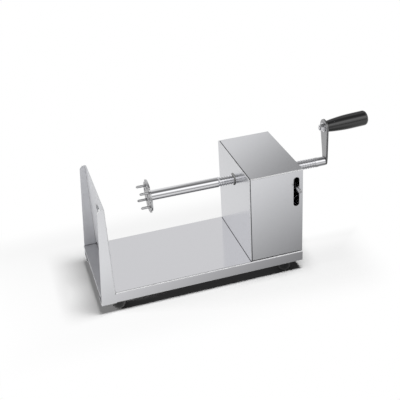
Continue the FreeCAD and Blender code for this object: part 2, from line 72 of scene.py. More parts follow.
def camera_axes():
    """Right, up and back vectors of the camera."""
    flat = math.cos(camera_elevation)
    back = Vector((math.sin(camera_azimuth) * flat, -math.cos(camera_azimuth) * flat,
                   math.sin(camera_elevation)))
    level = Vector((0, 0, 1)).cross(back).normalized()
    rise = back.cross(level)
    right = level * math.cos(camera_roll) + rise * math.sin(camera_roll)
    up = rise * math.cos(camera_roll) - level * math.sin(camera_roll)
    return right, up, back


camera_data = bpy.data.cameras.new("camera")
camera_data.lens = camera_lens
camera = bpy.data.objects.new("camera", camera_data)
bpy.context.scene.collection.objects.link(camera)
turn = Matrix(camera_axes()).transposed().to_4x4()
camera.matrix_world = Matrix.Translation(camera_spot) @ turn
bpy.context.scene.camera = camera
bpy.context.scene.view_settings.view_transform = "Standard"

# %% [markdown]
# ## Small helpers for node trees
# Every finish below is a short chain of nodes. These helpers add a node, set its inputs by name and
# link it, so that a material reads as a list of what the surface has.


# %% Node helpers
def fill_inputs(node, inputs):
    """Set or link the named inputs of a node."""
    for name, value in inputs.items():
        socket = node.inputs[name]
        if isinstance(value, bpy.types.NodeSocket):
            node.id_data.links.new(value, socket)
        else:
            socket.default_value = value


def add_node(tree, kind, settings=None, **inputs):
    """A new node with its settings and inputs; underscores in input names stand for spaces."""
    node = tree.nodes.new("ShaderNode" + kind)
    for name, value in (settings or {}).items():
        setattr(node, name, value)
    fill_inputs(node, {name.replace("_", " "): value for name, value in inputs.items()})
    return node


def maths(tree, operation, first, second=0.0, third=0.0):
    """One step of arithmetic between numbers or sockets."""
    node = tree.nodes.new("ShaderNodeMath")
    node.operation = operation
    fill_inputs(node, {0: first, 1: second, 2: third})
    return node.outputs[0]


def blend_values(tree, share, low, high):
    """low where share is 0 and high where it is 1."""
    node = tree.nodes.new("ShaderNodeMix")
    fill_inputs(node, {0: share, 2: low, 3: high})
    return node.outputs[0]


def ramp(tree, value, start, end, low=0.0, high=1.0):
    """A smooth climb from low to high as value goes from start to end."""
    node = add_node(tree, "MapRange", {"interpolation_type": "SMOOTHSTEP"}, Value=value)
    fill_inputs(node, {1: start, 2: end, 3: low, 4: high})
    return node.outputs[0]


def ramp_straight(tree, value, start, end):
    """A straight climb from 0 to 1 as value goes from start to end."""
    node = add_node(tree, "MapRange", Value=value)
    fill_inputs(node, {1: start, 2: end, 3: 0.0, 4: 1.0})
    return node.outputs[0]


print("node helpers ready")

# %% [markdown]
# ## A pale room that metal can mirror
# Polished steel shows its surroundings, so the room matters more than the lamps.
# The camera sees plain white. Glossy rays meet bands that run along the machine: a dark skirting, a
# bright window in front, a dark ceiling and a pale wall behind, so round bars show dark and bright lines.
# The wall behind has a shaded strip and a window left of it, which the end of the box mirrors.
# Light that ends on a matt surface gets one weak level, so that the floor keeps a deep contact shadow.

# %% World
ambient_level = 0.025
side_level = 0.85
side_reach = (0.6, 0.85)
back_reach = (0.4, 0.6)
back_shade = 0.6
back_shade_headings = (1, -4)
back_window = 0.59
back_window_headings = (-10, -14)
room_bands = ((-20, 0.34), (4, 0.34), (15, 0.90), (28, 1.05), (40, 1.45), (50, 1.15), (60, 0.50), (76, 0.2),
              (96, 0.22), (112, 0.42), (132, 0.78), (150, 0.84), (180, 0.84))


def room_level(tree, direction):
    """Level of the room by the angle up from the front horizon, over the top and down behind."""
    over = maths(tree, "ARCTAN2", direction["Z"], maths(tree, "MULTIPLY", direction["Y"], -1.0))
    lowest, highest = math.radians(room_bands[0][0]), math.radians(room_bands[-1][0])
    share = ramp_straight(tree, over, lowest, highest)
    curve = add_node(tree, "FloatCurve", Value=share)
    points = curve.mapping.curves[0].points
    top = max(level for _, level in room_bands)
    for index, (angle, level) in enumerate(room_bands):
        place = (math.radians(angle) - lowest) / (highest - lowest)
        if index in (0, len(room_bands) - 1):
            points[0 if index == 0 else -1].location = (place, level / top)
        else:
            points.new(place, level / top)
    curve.mapping.update()
    bands = maths(tree, "MULTIPLY", curve.outputs[0], top)
    heading = maths(tree, "ARCTAN2", direction["X"], direction["Y"])
    shade = ramp(tree, heading, *map(math.radians, back_shade_headings), 1.0, back_shade)
    window = ramp(tree, heading, *map(math.radians, back_window_headings), 0.0, back_window)
    behind = ramp(tree, direction["Y"], *back_reach)
    back_level = blend_values(tree, behind, 1.0, maths(tree, "ADD", shade, window))
    bands = maths(tree, "MULTIPLY", bands, back_level)
    beside = ramp(tree, maths(tree, "ABSOLUTE", direction["X"]), *side_reach)
    return blend_values(tree, beside, bands, side_level)


def for_matt(tree):
    """One for light that reaches a matt surface, also by way of a mirror."""
    return maths(tree, "GREATER_THAN", add_node(tree, "LightPath").outputs["Diffuse Depth"], 0.5)


world = bpy.data.worlds.new("room")
bpy.context.scene.world = world
world.use_nodes = True
world.cycles.sampling_method = "NONE"
tree = world.node_tree
tree.nodes.clear()
direction = add_node(tree, "SeparateXYZ", Vector=add_node(tree, "TexCoord").outputs["Generated"]).outputs
lit = blend_values(tree, for_matt(tree), room_level(tree, direction), ambient_level)
seen = blend_values(tree, add_node(tree, "LightPath").outputs["Is Camera Ray"], lit, 1.0)
background = add_node(tree, "Background", Color=(1, 1, 1, 1), Strength=seen)
tree.links.new(background.outputs[0], add_node(tree, "OutputWorld").inputs["Surface"])
print("room lit at", ambient_level, "for matt surfaces")

# %% [markdown]
# ## Floor
# The floor is white paper. Close to the machine it is a real diffuse surface that takes the shadow,
# and further out, and behind the crank, it fades into the white room. Steel sees a painted shade in
# it instead: a soft grey gradient that darkens towards the machine and towards the right, darker
# again far in front, with other painted greys behind and to the left and right.

# %% Floor
paper_albedo = 0.9
paper_middle = (-0.11, 0.02)
paper_half = (0.26, 0.115)
paper_fade = 0.075
# Levels of the painted shade that steel sees in the floor.
floor_near_grey = 0.22
floor_right_fall = -1.5
floor_front_climb = 2.5
floor_darkest = 0.24
floor_dark_rounding = 0.1
floor_brightest = 0.95
floor_bright_rounding = 0.15
far_floor_grey = 0.34
far_floor_y = (-0.42, -0.60)
floor_behind_grey = 0.82
floor_behind_y = (0.0, 0.08)
floor_left_back_grey = 0.55
floor_left_back_x = (-0.13, -0.19)
floor_left_back_y = (0.02, 0.08)
floor_left_end_x = (-0.30, -0.38)
floor_right_grey = 0.75
floor_right_x = (0.20, 0.40)
clear_floor_x = (0.09, 0.13)
clear_floor_y = (-0.05, 0.02)


def stage_plane(name, corners, material):
    """A flat stage object from four corners."""
    mesh = bpy.data.meshes.new(name)
    mesh.from_pydata(corners, [], [(0, 1, 2, 3)])
    mesh.materials.append(material)
    made = bpy.data.objects.new(name, mesh)
    bpy.context.scene.collection.objects.link(made)
    return made


def new_material(name):
    """An empty node material and its tree."""
    material = bpy.data.materials.new(name)
    material.use_nodes = True
    material.node_tree.nodes.clear()
    return material, material.node_tree


def show(tree, shader):
    """Link a shader to the material's output."""
    tree.links.new(shader.outputs[0], add_node(tree, "OutputMaterial").inputs["Surface"])


def outside(tree, coordinate, middle, half):
    """How far a coordinate lies outside a stretch given by its middle and half width."""
    away = maths(tree, "ABSOLUTE", maths(tree, "SUBTRACT", coordinate, middle))
    return maths(tree, "MAXIMUM", maths(tree, "SUBTRACT", away, half), 0.0)


def corner_share(tree, x, y, band_x, band_y):
    """One in the corner of the floor that lies past a band in x and a band in y."""
    return maths(tree, "MULTIPLY", ramp(tree, x, *band_x), ramp(tree, y, *band_y))


def mirrored_floor_painted_shade(tree, x, y):
    """The painted shade that steel sees in the floor."""
    forward = maths(tree, "MULTIPLY", y, -floor_front_climb)
    slope = maths(tree, "ADD", maths(tree, "MULTIPLY_ADD", x, floor_right_fall, floor_near_grey), forward)
    capped = maths(tree, "SMOOTH_MIN", slope, floor_brightest, floor_bright_rounding)
    front_grey = maths(tree, "SMOOTH_MAX", capped, floor_darkest, floor_dark_rounding)
    striped = blend_values(tree, ramp(tree, y, *far_floor_y), front_grey, far_floor_grey)
    whole = blend_values(tree, ramp(tree, y, *floor_behind_y), striped, floor_behind_grey)
    left_back = corner_share(tree, x, y, floor_left_back_x, floor_left_back_y)
    left_grey = ramp(tree, x, *floor_left_end_x, floor_left_back_grey, floor_brightest)
    whole = blend_values(tree, left_back, whole, left_grey)
    return blend_values(tree, ramp(tree, x, *floor_right_x), whole, floor_right_grey)


def floor_material():
    """Paper that takes a shadow near the machine and is plain white further out."""
    material, tree = new_material("floor_paper")
    material.cycles.emission_sampling = "NONE"
    place = add_node(tree, "SeparateXYZ", Vector=add_node(tree, "NewGeometry").outputs["Position"])
    x, y = place.outputs["X"], place.outputs["Y"]
    away_x = outside(tree, x, paper_middle[0], paper_half[0])
    away_y = outside(tree, y, paper_middle[1], paper_half[1])
    away = maths(tree, "SQRT", maths(tree, "ADD", maths(tree, "POWER", away_x, 2.0),
                                     maths(tree, "POWER", away_y, 2.0)))
    path = add_node(tree, "LightPath").outputs
    matt = for_matt(tree)
    paper = add_node(tree, "BsdfDiffuse", Color=(paper_albedo, paper_albedo, paper_albedo, 1))
    white_level = blend_values(tree, matt, 1.0, 2 * ambient_level)
    white = add_node(tree, "Emission", Color=(1, 1, 1, 1), Strength=white_level)
    behind_crank = corner_share(tree, x, y, clear_floor_x, clear_floor_y)
    clear = maths(tree, "MAXIMUM", ramp(tree, away, 0.0, paper_fade), behind_crank)
    faded = add_node(tree, "MixShader", Fac=maths(tree, "MAXIMUM", clear, matt))
    tree.links.new(paper.outputs[0], faded.inputs[1])
    tree.links.new(white.outputs[0], faded.inputs[2])
    mirrored = add_node(tree, "Emission", Color=(1, 1, 1, 1), Strength=mirrored_floor_painted_shade(tree, x, y))
    chosen = add_node(tree, "MixShader", Fac=maths(tree, "SUBTRACT", path["Is Glossy Ray"], matt))
    tree.links.new(faded.outputs[0], chosen.inputs[1])
    tree.links.new(mirrored.outputs[0], chosen.inputs[2])
    show(tree, chosen)
    return material


floor_reach = 5.0
floor_level = -0.0001
floor_corners = [(x, y, floor_level) for x, y in ((-floor_reach, -floor_reach), (floor_reach, -floor_reach),
                                                  (floor_reach, floor_reach), (-floor_reach, floor_reach))]
stage_plane("floor", floor_corners, floor_material())
print("floor staged, paper", [round(2000 * half) for half in paper_half], "mm")

# %% [markdown]
# ## A card behind the machine
# Only glossy rays meet this card. Its brightness falls off up and to the right, so the flat top of the
# box gets a gradient although its normal never changes: nearby things slide across a mirror as the
# point on it moves, while a distant wall would give one flat tone.

# %% Backdrop card
card_y = 0.30
card_right_end = 0.8
card_height = 0.62
card_level_at_origin = 2.11
card_right_fall = -2.16
card_upward_fall = -3.44
card_brightest = 0.845
card_darkest = 0.34
card_rounding = 0.06
card_left_end = 0.07


def card_material():
    """Flat tone at the lower left and a fall-off up and right."""
    material, tree = new_material("card")
    material.cycles.emission_sampling = "NONE"
    place = add_node(tree, "SeparateXYZ", Vector=add_node(tree, "NewGeometry").outputs["Position"])
    x, z = place.outputs["X"], place.outputs["Z"]
    slope = maths(tree, "MULTIPLY_ADD", x, card_right_fall, card_level_at_origin)
    slope = maths(tree, "MULTIPLY_ADD", z, card_upward_fall, slope)
    capped = maths(tree, "SMOOTH_MIN", slope, card_brightest, card_rounding)
    level = maths(tree, "SMOOTH_MAX", capped, card_darkest, card_rounding)
    kept = blend_values(tree, for_matt(tree), level, ambient_level)
    show(tree, add_node(tree, "Emission", Color=(1, 1, 1, 1), Strength=kept))
    return material


card_corners = [(x, card_y, z) for x, z in ((card_left_end, 0.0), (card_right_end, 0.0),
                                            (card_right_end, card_height), (card_left_end, card_height))]
card = stage_plane("backdrop_card", card_corners, card_material())
card.visible_camera = False
card.visible_diffuse = False
card.visible_shadow = False
card.visible_transmission = False
print("card stands", card_y, "m behind the middle")

# %% [markdown]
# ## A soft lamp overhead and a weak one at the left
# The main lamp runs along the machine, a little in front of it and to the right, so the shadow hugs the
# tray and fades to the left over a hand's width. A low lamp at the left lifts the floor under the tray's
# open end. Both are hidden from glossy rays, because the room does that job.


# %% Lamps
def soft_lamp(name, place, target, length, width, watts):
    """A rectangular lamp at a place, turned to a target."""
    data = bpy.data.lights.new(name, "AREA")
    data.shape = "RECTANGLE"
    data.size = length
    data.size_y = width
    data.energy = watts
    made = bpy.data.objects.new(name, data)
    aim = (Vector(target) - Vector(place)).to_track_quat("-Z", "Y")
    made.matrix_world = Matrix.Translation(place) @ aim.to_matrix().to_4x4()
    made.visible_glossy = False
    bpy.context.scene.collection.objects.link(made)
    print(name, watts, "W")


overhead_spot = (0.14, -0.16, 1.5)
overhead_aim = (0.14, -0.16, 0.0)
left_spot = (-0.95, 0.02, 0.40)
left_aim = (-0.22, 0.0, 0.0)
soft_lamp("overhead_lamp", overhead_spot, overhead_aim, length=0.58, width=0.4, watts=22.0)
soft_lamp("left_lamp", left_spot, left_aim, length=0.3, width=0.3, watts=3.0)

# %% [markdown]
# ## Steel finishes
# Stainless sheet is a metal with very little colour. What tells one sheet from another is how
# sharply it mirrors and which way the polishing lines run. Noise stretched along the polishing
# direction drives the roughness and a very shallow bump, and an occlusion term paints shade into
# narrow joints and inner corners. Bends are rougher, so they scatter more, and a painted highlight
# lifts their colour into a pale line. The sheared left end of a sheet is rougher too and gets the same
# painted highlight. Left of the blade plate the sheet is rougher, with a painted tone: shade on the
# tray, light on the frame.


# %% Steel
plate_depth = 0.0014
mask_fade = 0.0002
plate_fade = 0.0003
rim_start = 0.0005
rim_end = 0.0002
rim_roughness = 0.6
plate_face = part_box("blade_frame")[1].x - plate_depth
near_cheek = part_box("blade_frame")[0].y + mask_fade
sheet_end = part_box("base_tray")[0].x
joint_open = (0.42, 0.82)
joint_darkest = 0.10
bend_flatness = (0.90, 0.985)
edge_facing = (0.5, 0.8)
grain_range = (0.3, 0.7)
smudge_range = (0.52, 0.72)
smudge_scale = 22.0
smudge_share = 1.5
line_tone = 0.975
painted_bend_highlight = (0.92, 0.92, 0.93)
painted_rim_highlight = (0.98, 0.98, 0.99)


def painted_joint_shade(tree, reach):
    """One on open faces, and a painted shade inside joints and corners narrower than the reach."""
    nearness = add_node(tree, "AmbientOcclusion", {"samples": 8}, Distance=reach)
    return ramp(tree, nearness.outputs["AO"], *joint_open, joint_darkest, 1.0)


def bend_share(tree):
    """One on bends and rounded edges, zero on faces that look along an axis."""
    normal = add_node(tree, "SeparateXYZ", Vector=add_node(tree, "NewGeometry").outputs["Normal"]).outputs
    sides = [maths(tree, "ABSOLUTE", normal[axis]) for axis in "XYZ"]
    flattest = maths(tree, "MAXIMUM", maths(tree, "MAXIMUM", sides[0], sides[1]), sides[2])
    return ramp(tree, flattest, *bend_flatness, 1.0, 0.0)


def discharge_side(tree, place):
    """One to the left of the blade plate and between the cheeks, where the sheet is rougher and carries a
    painted tone.
    """
    spot = add_node(tree, "SeparateXYZ", Vector=place).outputs
    beyond = ramp(tree, spot["X"], plate_face + plate_fade, plate_face)
    between = ramp(tree, spot["Y"], near_cheek, near_cheek + mask_fade)
    return maths(tree, "MULTIPLY", beyond, between)


def sheared_end(tree, place):
    """One on the rim where the tray's and the cheeks' sheet is sheared at the left."""
    along = add_node(tree, "SeparateXYZ", Vector=place).outputs["X"]
    return ramp(tree, along, sheet_end + rim_start, sheet_end + rim_end)


def edge_tone(tree, tone):
    """The given tone on faces that look up, down or sideways, and one on faces that look along X."""
    normal = add_node(tree, "SeparateXYZ", Vector=add_node(tree, "NewGeometry").outputs["Normal"])
    return ramp(tree, maths(tree, "ABSOLUTE", normal.outputs["X"]), *edge_facing, tone, 1.0)


def turn_to(tree, tint, share, colour):
    """A colour that turns to another as share goes from zero to one."""
    return add_node(tree, "MixRGB", Fac=share, Color1=tint, Color2=(*colour, 1)).outputs[0]


def toned(tree, tint, tone):
    """A colour multiplied by a tone."""
    return add_node(tree, "MixRGB", {"blend_type": "MULTIPLY"}, Fac=1.0, Color1=tint, Color2=tone).outputs[0]


def steel(name, colour, roughness, lines, line_depth=0.00001, spread=0.02, coarse=900.0, joint=0.0025,
          bend_roughness=None, painted_edge_shade=None, mill_roughness_and_painted_tone=None):
    """Metal with polishing lines; lines is the stretch of the noise along X, Y and Z."""
    material, tree = new_material(name)
    place = add_node(tree, "TexCoord").outputs["Object"]
    stretched = add_node(tree, "Mapping", Vector=place, Scale=lines)
    grain = add_node(tree, "TexNoise", Vector=stretched.outputs[0], Scale=coarse, Detail=3.0).outputs[0]
    smudge = add_node(tree, "TexNoise", Vector=place, Scale=smudge_scale, Detail=4.0, Distortion=0.6)
    fine = ramp(tree, grain, *grain_range, -spread, spread)
    broad = ramp(tree, smudge.outputs[0], *smudge_range, 0.0, smudge_share * spread)
    rough = maths(tree, "ADD", maths(tree, "ADD", fine, broad), roughness)
    line_colour = tuple(line_tone * channel for channel in colour)
    tint = turn_to(tree, (*line_colour, 1), grain, colour)
    # Bends: rougher, with a painted highlight that lifts their colour.
    if bend_roughness:
        bend = bend_share(tree)
        rough = blend_values(tree, bend, rough, bend_roughness)
        tint = turn_to(tree, tint, bend, painted_bend_highlight)
    # Left of the blade plate: rougher, with a painted tone, shade on the tray and light on the frame.
    if mill_roughness_and_painted_tone:
        mill_roughness, painted_tone = mill_roughness_and_painted_tone
        share = discharge_side(tree, place)
        rough = blend_values(tree, share, rough, mill_roughness)
        tint = toned(tree, tint, blend_values(tree, share, 1.0, painted_tone))
        # The sheared left rim: rougher, with a painted highlight.
        end = sheared_end(tree, place)
        rough = blend_values(tree, end, rough, rim_roughness)
        tint = turn_to(tree, tint, end, painted_rim_highlight)
    # Faces that don't look along X get a painted shade.
    if painted_edge_shade:
        tint = toned(tree, tint, edge_tone(tree, painted_edge_shade))
    bump = add_node(tree, "Bump", Height=grain, Distance=line_depth, Strength=0.25)
    # An occlusion term paints shade into narrow joints and inner corners.
    shaded = toned(tree, tint, painted_joint_shade(tree, joint))
    show(tree, add_node(tree, "BsdfPrincipled", Base_Color=shaded, Metallic=1.0, Roughness=rough,
                        Normal=bump.outputs[0]))
    return material


def dress(piece, material):
    """Give an object one material."""
    piece.data.materials.clear()
    piece.data.materials.append(material)


along_x_lines = (0.03, 1.0, 1.0)
along_z_lines = (1.0, 1.0, 0.03)
no_lines = (1.0, 1.0, 1.0)
# The tray's strip left of the blade plate gets a painted shade (0.62); the frame's faces there get painted
# light (1.1).
tray_steel = steel("tray_steel", (0.72, 0.72, 0.745), 0.12, along_x_lines, spread=0.012,
                   bend_roughness=0.55, mill_roughness_and_painted_tone=(0.42, 0.62))
frame_steel = steel("frame_steel", (0.72, 0.725, 0.745), 0.2, along_z_lines, line_depth=0.000002,
                    spread=0.01, bend_roughness=0.55, mill_roughness_and_painted_tone=(0.45, 1.1))
housing_steel = steel("housing_steel", (0.74, 0.745, 0.77), 0.2, along_z_lines, spread=0.012,
                      bend_roughness=0.55)
satin_steel = steel("satin_steel", (0.58, 0.58, 0.59), 0.28, along_z_lines, spread=0.05)
# The crank arm's edge faces get a painted shade, tone 0.55.
crank_steel = steel("crank_steel", (0.40, 0.40, 0.405), 0.3, along_z_lines, spread=0.05, painted_edge_shade=0.55)
fastener_steel = steel("fastener_steel", (0.80, 0.80, 0.82), 0.2, no_lines, spread=0.05, coarse=500.0,
                       joint=0.0008)
chrome = steel("chrome", (0.80, 0.80, 0.82), 0.07, no_lines, spread=0.015, coarse=300.0, joint=0.0018)
brass = steel("brass", (0.72, 0.52, 0.24), 0.3, no_lines, spread=0.05, coarse=400.0, joint=0.001)
finishes = {
    tray_steel: ["base_tray"],
    frame_steel: ["blade_frame"],
    housing_steel: ["housing_cover", "front_panel", "rear_panel"],
    satin_steel: ["skewer_guide", "prong_disc", "prongs", "release_lever"],
    crank_steel: ["crank_arm"],
    fastener_steel: ["grip_washers", "pivot_pin", "half_nut_pins", "pivot_bracket"],
    brass: ["half_nut"],
}
for material, names in finishes.items():
    for name in names:
        dress(nodes[name], material)
print("steel on", sum(len(names) for names in finishes.values()), "nodes")

# %% [markdown]
# ## The ground blade
# The blade is taken to be a harder and darker stainless, rolled on its back and ground bright on its bevel.
# The bevel is a known strip of the mesh, so a ramp on the object's own Y coordinate separates the two
# finishes, and the grinding lines run across the edge as a grinding wheel leaves them.

# %% Blade finish
bevel_width = 0.006
bevel_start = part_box("slicing_blade")[1].y - bevel_width
bevel_fade = 0.0002
across_y_lines = (1.0, 0.04, 1.0)
rolled_grey = (0.55, 0.56, 0.58)
ground_grey = (0.80, 0.81, 0.83)
rolled_roughness = 0.26
ground_roughness = 0.16
blade_spread = 0.05


def ground_blade():
    """Rolled back, ground bevel with lines across the edge."""
    material, tree = new_material("ground_blade")
    place = add_node(tree, "TexCoord").outputs["Object"]
    across = add_node(tree, "SeparateXYZ", Vector=place).outputs["Y"]
    ground = ramp(tree, across, bevel_start - bevel_fade, bevel_start + bevel_fade)
    rolled_lines = add_node(tree, "Mapping", Vector=place, Scale=along_z_lines)
    ground_lines = add_node(tree, "Mapping", Vector=place, Scale=across_y_lines)
    rolled = add_node(tree, "TexNoise", Vector=rolled_lines.outputs[0], Scale=900.0, Detail=3.0)
    scratched = add_node(tree, "TexNoise", Vector=ground_lines.outputs[0], Scale=2200.0, Detail=2.0)
    height = blend_values(tree, ground, rolled.outputs[0], scratched.outputs[0])
    colour = turn_to(tree, (*rolled_grey, 1), ground, ground_grey)
    rough = blend_values(tree, ground, rolled_roughness, ground_roughness)
    varied = maths(tree, "ADD", rough, ramp(tree, height, *grain_range, -blade_spread, blade_spread))
    bump = add_node(tree, "Bump", Height=height, Distance=0.00002, Strength=0.4)
    show(tree, add_node(tree, "BsdfPrincipled", Base_Color=colour, Metallic=1.0, Roughness=varied,
                        Normal=bump.outputs[0]))
    return material


dress(nodes["slicing_blade"], ground_blade())
print("bevel of", 1000 * bevel_width, "mm ground bright")

# %% [markdown]
# ## Plastic and rubber
# The grip is moulded black plastic with a satin skin, the feet are duller rubber, and the bushes are
# taken to be natural nylon. A fine bump breaks up the highlight, and a large soft noise varies the
# gloss where hands and table wear it.


# %% Moulded materials
cloud_scale = 40.0
wear_spread = 0.04
worn_tone = 0.8


def moulded(name, colour, roughness, grain_size, grain_depth, gloss=0.5):
    """Plastic or rubber with a fine moulded grain."""
    material, tree = new_material(name)
    place = add_node(tree, "TexCoord").outputs["Object"]
    grain = add_node(tree, "TexNoise", Vector=place, Scale=1.0 / grain_size, Detail=2.0)
    cloud = add_node(tree, "TexNoise", Vector=place, Scale=cloud_scale, Detail=2.0)
    rough = ramp(tree, cloud.outputs[0], *grain_range, roughness - wear_spread, roughness + wear_spread)
    worn = tuple(worn_tone * channel for channel in colour)
    tint = turn_to(tree, (*worn, 1), cloud.outputs[0], colour)
    bump = add_node(tree, "Bump", Height=grain.outputs[0], Distance=grain_depth, Strength=0.5)
    show(tree, add_node(tree, "BsdfPrincipled", Base_Color=tint, Roughness=rough,
                        Specular_IOR_Level=gloss, Normal=bump.outputs[0]))
    return material


grip_plastic = moulded("grip_plastic", (0.004, 0.004, 0.0045), 0.16, 0.0006, 0.000006, gloss=1.0)
foot_rubber = moulded("foot_rubber", (0.03, 0.03, 0.032), 0.4, 0.0005, 0.00002, gloss=0.5)
nylon = moulded("nylon", (0.62, 0.62, 0.61), 0.4, 0.001, 0.00002)
dress(nodes["grip"], grip_plastic)
dress(nodes["feet"], foot_rubber)
print("moulded pieces dressed")

# %% [markdown]
# ## Turned pieces
# Screws, nuts and the lead screw are all turned round an axis, so two helpers make them: one spins an
# outline of (distance along, radius) into rings, the other lays rows of points along a helix for a
# thread. Both work in a plain frame with the axis on Z, and a matrix puts the result in its place.


# %% Turning helpers
def ring_points(distance, radius, steps):
    """A ring of points round Z; radius may be a function of the angle."""
    ring = []
    for step in range(steps):
        angle = 2 * math.pi * step / steps
        reach = radius(angle) if callable(radius) else radius
        ring.append((reach * math.cos(angle), reach * math.sin(angle), distance))
    return ring


def spin_into(points, faces, rings, steps):
    """Add rings and the faces between them to the lists."""
    first = len(points)
    for ring in rings:
        points.extend(ring)
    for row in range(len(rings) - 1):
        for step in range(steps):
            here = first + row * steps + step
            beside = first + row * steps + (step + 1) % steps
            faces.append((here, beside, beside + steps, here + steps))


def outline_rings(outline, steps):
    """Rings for an outline of (distance, radius)."""
    return [ring_points(distance, radius, steps) for distance, radius in outline]


weld_distance = 1e-6
smooth_limit = 35.0
thread_fade = 0.8
thread_tooth = ((0.0, 0.0), (0.16, 0.0), (0.36, 1.0), (0.64, 1.0), (0.84, 0.0))


def thread_into(points, faces, start, end, crest, pitch, depth, steps):
    """A right-hand thread along Z from start to end, faded out at both ends."""
    first, width = len(points), len(thread_tooth)
    rows = int(((end - start) / pitch + 2) * steps)
    for row in range(rows):
        angle = 2 * math.pi * row / steps
        for along, height in thread_tooth:
            place = min(max(start + pitch * (row / steps - 1 + along), start), end)
            fade = min(1.0, min(place - start, end - place) / (thread_fade * pitch))
            radius = crest - depth * (1 - height) * fade
            points.append((radius * math.cos(angle), radius * math.sin(angle), place))
    for row in range(rows - steps - 1):
        for column in range(width):
            near = first + row * width + column
            ahead = near + 1 if column < width - 1 else first + (row + steps) * width
            faces.append((near, near + width, ahead + width, ahead))


def finish_mesh(name, points, faces, sharp_degrees=smooth_limit):
    """Weld points, drop empty faces, face outwards and shade smooth between sharp edges."""
    mesh = bpy.data.meshes.new(name)
    mesh.from_pydata(points, [], faces)
    work = bmesh.new()
    work.from_mesh(mesh)
    bmesh.ops.remove_doubles(work, verts=work.verts, dist=weld_distance)
    bmesh.ops.dissolve_degenerate(work, edges=work.edges, dist=weld_distance)
    bmesh.ops.recalc_face_normals(work, faces=work.faces)
    work.to_mesh(mesh)
    work.free()
    mesh.shade_smooth()
    mesh.set_sharp_from_angle(angle=math.radians(sharp_degrees))
    return mesh


def place_pieces(name, mesh, places):
    """One object that holds the mesh at each of several matrices."""
    work = bmesh.new()
    for place in places:
        copy = mesh.copy()
        copy.transform(place)
        work.from_mesh(copy)
        bpy.data.meshes.remove(copy)
    gathered = bpy.data.meshes.new(name)
    work.to_mesh(gathered)
    work.free()
    made = bpy.data.objects.new(name, gathered)
    bpy.context.scene.collection.objects.link(made)
    return made


def facing(point, direction):
    """A matrix that puts the origin at a point and turns Z to a direction."""
    return Matrix.Translation(point) @ Vector(direction).to_track_quat("Z", "Y").to_matrix().to_4x4()


def stand_in(piece, node, body, material):
    """Dress a piece, ride it on its body and let it stand for its node."""
    dress(piece, material)
    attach(piece, body)
    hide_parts(node)
    print(piece.name, "has", len(piece.data.polygons), "faces")


print("turning helpers ready")

# %% [markdown]
# ## The threaded screw
# The screw is a bright bar with a coarse right-hand thread where it passes the box, a bored nose for
# the skewer and a short neck where the crank is fixed. A screw modifier could sweep a tooth, but rows
# that follow the helix give clean flanks with few faces.

# %% Lead screw
screw_pitch = 0.004
screw_thread_depth = 0.0011
bar_steps = 48
screw_low, screw_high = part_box("lead_screw")
crest_radius = (screw_high.y - screw_low.y) / 2
thread_from_tray = 0.201
thread_to_tray = 0.358
thread_start = sheet_end + thread_from_tray - screw_low.x
thread_end = sheet_end + thread_to_tray - screw_low.x
bore_radius = 0.0035
bore_depth = 0.090
bore_tip = 0.002
edge_break = 0.0004
spigot_length = 0.0015
neck_length = 0.011
neck_step = 0.0005


def threaded_bar():
    """The whole bar along Z: bored nose, thread, plain shank and neck."""
    points, faces = [], []
    thread_into(points, faces, thread_start, thread_end, crest_radius, screw_pitch, screw_thread_depth,
                bar_steps)
    arm_face = screw_high.x - screw_low.x - spigot_length
    nose = [(bore_depth + bore_tip, 0.0), (bore_depth, bore_radius), (edge_break, bore_radius),
            (0.0, bore_radius + edge_break), (0.0, crest_radius - edge_break), (edge_break, crest_radius),
            (thread_start, crest_radius)]
    neck = [(thread_end, crest_radius), (arm_face - neck_length - neck_step, crest_radius),
            (arm_face - neck_length, crest_radius - neck_step),
            (arm_face - edge_break, crest_radius - neck_step),
            (arm_face, crest_radius - neck_step - edge_break), (arm_face, 0.0)]
    spin_into(points, faces, outline_rings(nose, bar_steps), bar_steps)
    spin_into(points, faces, outline_rings(neck, bar_steps), bar_steps)
    return finish_mesh("threaded_bar", points, faces)


screw_axis = Vector((screw_low.x, (screw_low.y + screw_high.y) / 2, (screw_low.z + screw_high.z) / 2))
lead_screw = place_pieces("threaded_screw", threaded_bar(), [facing(screw_axis, (1, 0, 0))])
stand_in(lead_screw, "lead_screw", "spindle", chrome)

# %% [markdown]
# ## Bushes
# The screw turns in two snap-in nylon sleeves. A moulding has a thin rounded flange, a snap bead that
# springs out behind the sheet, and slots that let the bead close; here the slots are left out, since
# they sit inside the box, and the outline is spun round the screw's axis.

# %% Bushes
sheet_stop = 0.00012
flange_radius = 0.0091
neck_radius = 0.0087
bead_radius = 0.0093
sleeve_radius = 0.0086
running_gap = 0.00008
running_radius = crest_radius + running_gap
flange_rise = 0.0010
flange_round = 0.0001
mouth_edge = 0.0004
sleeve_edge = 0.0006
neck_depth = 0.0013
bead_depth = 0.0017
bead_end = 0.0030
front_length = 0.016
rear_boss = 0.009


def snap_bush(sleeve, boss):
    """A flanged sleeve that goes down Z into the sheet, with its flange's back at the origin."""
    low = -boss if boss else -flange_rise
    outline = [(sleeve, running_radius), (low, running_radius), (low, running_radius + mouth_edge)]
    if boss:
        outline += [(low + sleeve_edge, sleeve_radius), (-flange_rise, sleeve_radius)]
    outline += [(-flange_rise, flange_radius - mouth_edge),
                (-0.6 * flange_rise, flange_radius - flange_round),
                (-0.3 * flange_rise, flange_radius), (0.0, flange_radius), (0.0, neck_radius),
                (neck_depth, neck_radius), (bead_depth, bead_radius), (bead_end, sleeve_radius),
                (sleeve - sleeve_edge, sleeve_radius), (sleeve, sleeve_radius - sleeve_edge),
                (sleeve, running_radius)]
    points, faces = [], []
    spin_into(points, faces, outline_rings(outline, bar_steps), bar_steps)
    return finish_mesh("snap_bush", points, faces)


